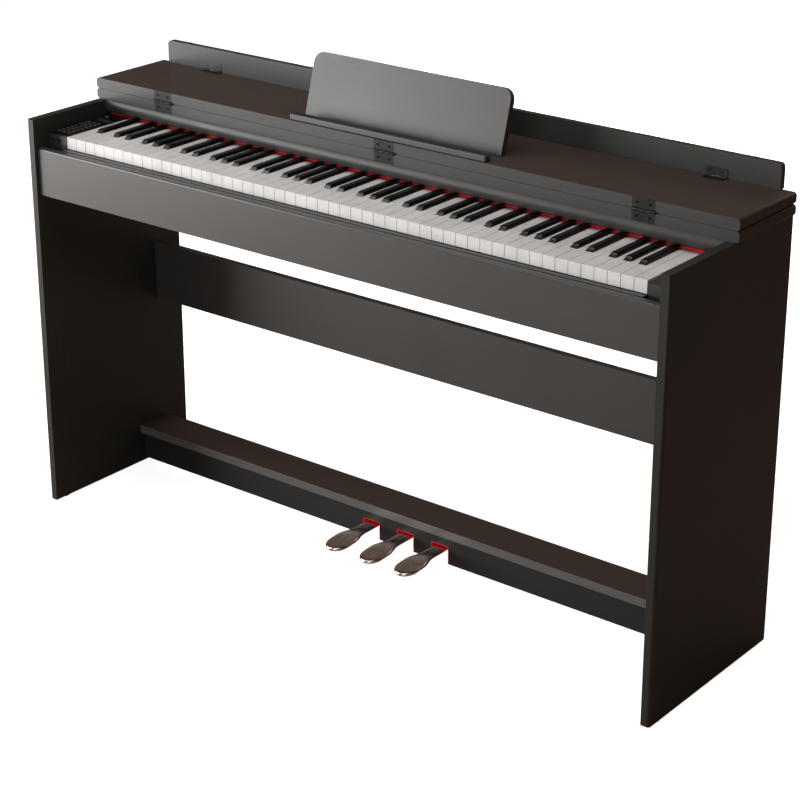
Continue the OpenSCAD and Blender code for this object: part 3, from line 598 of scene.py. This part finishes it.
FELT_EDGE = 0.7 * MM                       # radius of its long edges
FELT_FUZZ = 0.12 * MM                      # how far in a point may be pulled
CORNER_STEPS = 4
FELT_PRESSED = 1.2 * MM                    # how much the strip has settled below its full height
NOTCH_FELT = 1.5 * MM                      # thickness
NOTCH_BEND = 1.6 * MM                      # radius of its middle at the notch's corners
STRIP_STEPS = 320
SIDE_STEPS, TOP_STEPS, BEND_STEPS = 14, 16, 5
STRIP_SEED, NOTCH_SEED = 11, 21


def band_section(across, thick):
    """Rounded section of a felt band, as (across, thick) pairs around its middle."""
    points = []
    for corner_x, corner_y, start in ((1, 1, 0), (-1, 1, 90), (-1, -1, 180), (1, -1, 270)):
        for step in range(CORNER_STEPS):
            angle = math.radians(start + 90 * step / (CORNER_STEPS - 1))
            points.append((
                corner_x * (across / 2 - FELT_EDGE) + FELT_EDGE * math.cos(angle),
                corner_y * (thick / 2 - FELT_EDGE) + FELT_EDGE * math.sin(angle),
            ))
    return points


def fuzzed(rings, seed):
    """Pulls the points in a little at random, so a felt has no dead straight edge."""
    draw = random.Random(seed)
    soft = []
    for ring in rings:
        centre = sum((Vector(p) for p in ring), Vector()) / len(ring)
        soft.append([])
        for p in ring:
            inward = (centre - Vector(p)).normalized()
            soft[-1].append(tuple(Vector(p) + inward * draw.uniform(0.0, FELT_FUZZ)))
    return soft


def felt_piece(name, rings, node, seed):
    """Makes a felt from its rings, that stands for its CAD node and hides it."""
    piece = skin(name, fuzzed(rings, seed), red_felt, "case")
    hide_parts(node)


def make_felt_strip():
    """The straight strip behind the keys, pressed down by the fascia."""
    (x0, y0, z0), (x1, y1, z1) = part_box("red_felt_strip")
    z1 -= FELT_PRESSED
    section = band_section(z1 - z0, y1 - y0)
    y_middle, z_middle = (y0 + y1) / 2, (z0 + z1) / 2
    rings = []
    for i in range(STRIP_STEPS + 1):
        x = x0 + (x1 - x0) * i / STRIP_STEPS
        rings.append([(x, y_middle + thick, z_middle + across) for across, thick in section])
    felt_piece("felt_strip", rings, "red_felt_strip", STRIP_SEED)


def make_notch_felt(name, middle, seed):
    """A band that lines the two sides and the top of a pedal's notch."""
    (_, y0, z0), (x1, y1, z1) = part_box("pedal_notch_felts")
    pedal_low, pedal_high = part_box("damper_pedal")
    half = x1 - (pedal_low[0] + pedal_high[0]) / 2 - NOTCH_FELT / 2
    top = z1 - NOTCH_FELT / 2
    path = []                              # ((x, z), the angle that the band's outer face looks to)

    def bend(centre_x, start):
        """A quarter turn around a corner of the notch."""
        for step in range(BEND_STEPS):
            turned = start - 90 * step / (BEND_STEPS - 1)
            angle = math.radians(turned)
            at = (centre_x + NOTCH_BEND * math.cos(angle), top - NOTCH_BEND + NOTCH_BEND * math.sin(angle))
            path.append((at, turned))

    side = top - NOTCH_BEND - z0
    across = 2 * (half - NOTCH_BEND)
    for i in range(SIDE_STEPS):
        path.append(((-half, z0 + side * i / SIDE_STEPS), 180))
    bend(-half + NOTCH_BEND, 180)
    for i in range(1, TOP_STEPS):
        path.append(((-half + NOTCH_BEND + across * i / TOP_STEPS, top), 90))
    bend(half - NOTCH_BEND, 90)
    for i in range(1, SIDE_STEPS + 1):
        path.append(((half, top - NOTCH_BEND - side * i / SIDE_STEPS), 0))

    section = band_section(y1 - y0, NOTCH_FELT)
    y_middle = (y0 + y1) / 2
    rings = []
    for (x, z), outward in path:
        out_x, out_z = math.cos(math.radians(outward)), math.sin(math.radians(outward))
        rings.append([(middle + x + out_x * t, y_middle + a, z + out_z * t) for a, t in section])
    felt_piece(name, rings, "pedal_notch_felts", seed)


make_felt_strip()
for seed, kind in enumerate(("soft", "sostenuto", "damper")):
    near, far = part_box(f"{kind}_pedal")
    make_notch_felt(f"notch_felt_{kind}", (near[0] + far[0]) / 2, NOTCH_SEED + seed)


# -- rubber buffers on the flap's edge, which lands on the case when the lid is shut --

BUFFER_RADIUS, BUFFER_HEIGHT = 4.5 * MM, 1.5 * MM
BUFFER_IN = 50 * MM                        # from the flap's ends
BUFFER_TURNS = 28
BUFFER_PROFILE = [(0.9, -0.3), (1.0, 0.0), (1.0, 0.3), (0.93, 0.62), (0.75, 0.85), (0.45, 0.97), (0.12, 1.0)]


def make_buffer(name, place, body):
    """A flat dome that stands up from its place, with its foot a little way in."""
    x, y, z = place
    angles = [2 * math.pi * i / BUFFER_TURNS for i in range(BUFFER_TURNS)]
    rings = []
    for wide, high in BUFFER_PROFILE:
        r = BUFFER_RADIUS * wide
        rings.append([(x + r * math.cos(a), y + r * math.sin(a), z + BUFFER_HEIGHT * high) for a in angles])
    skin(name, rings, rubber, body)


flap_low, flap_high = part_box("lid_flap")
flap_edge = ((flap_low[1] + flap_high[1]) / 2, flap_high[2])
make_buffer("flap_buffer_bass", (flap_low[0] + BUFFER_IN, *flap_edge), "flap")
make_buffer("flap_buffer_treble", (flap_high[0] - BUFFER_IN, *flap_edge), "flap")


make_camera()
make_lights()
make_world()
make_floor()
bpy.context.scene.view_settings.view_transform = "Standard"
